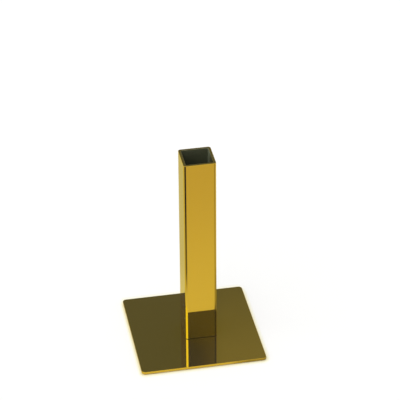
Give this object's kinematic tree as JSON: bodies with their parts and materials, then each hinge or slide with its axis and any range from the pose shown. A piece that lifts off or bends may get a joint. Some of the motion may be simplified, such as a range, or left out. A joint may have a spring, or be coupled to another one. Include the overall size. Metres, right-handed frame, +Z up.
{
  "type": "bud vase",
  "caption": "Tall square metal tube, open at the top, screwed to a flat square plate that stands on stick-on pads; holds a flower stalk in water.",
  "frame": {"origin": "on the table, under the middle of the base plate", "axes": "+Z up along the tube, +X to the right along the plate's front edge, -Y towards the viewer"},
  "size_m": [0.1, 0.1, 0.1651],
  "materials": {
    "polished_gold": "polished",
    "plain_brass": "satin",
    "screw_steel": "satin",
    "pad_rubber": "matte"
  },
  "bodies": {
    "root": {"base_plate": "polished_gold", "tube": "polished_gold", "foot_plug": "plain_brass", "fixing_screw_left": "screw_steel", "fixing_screw_right": "screw_steel", "pad_front_left": "pad_rubber", "pad_front_right": "pad_rubber", "pad_back_left": "pad_rubber", "pad_back_right": "pad_rubber"}
  },
  "joints": []
}
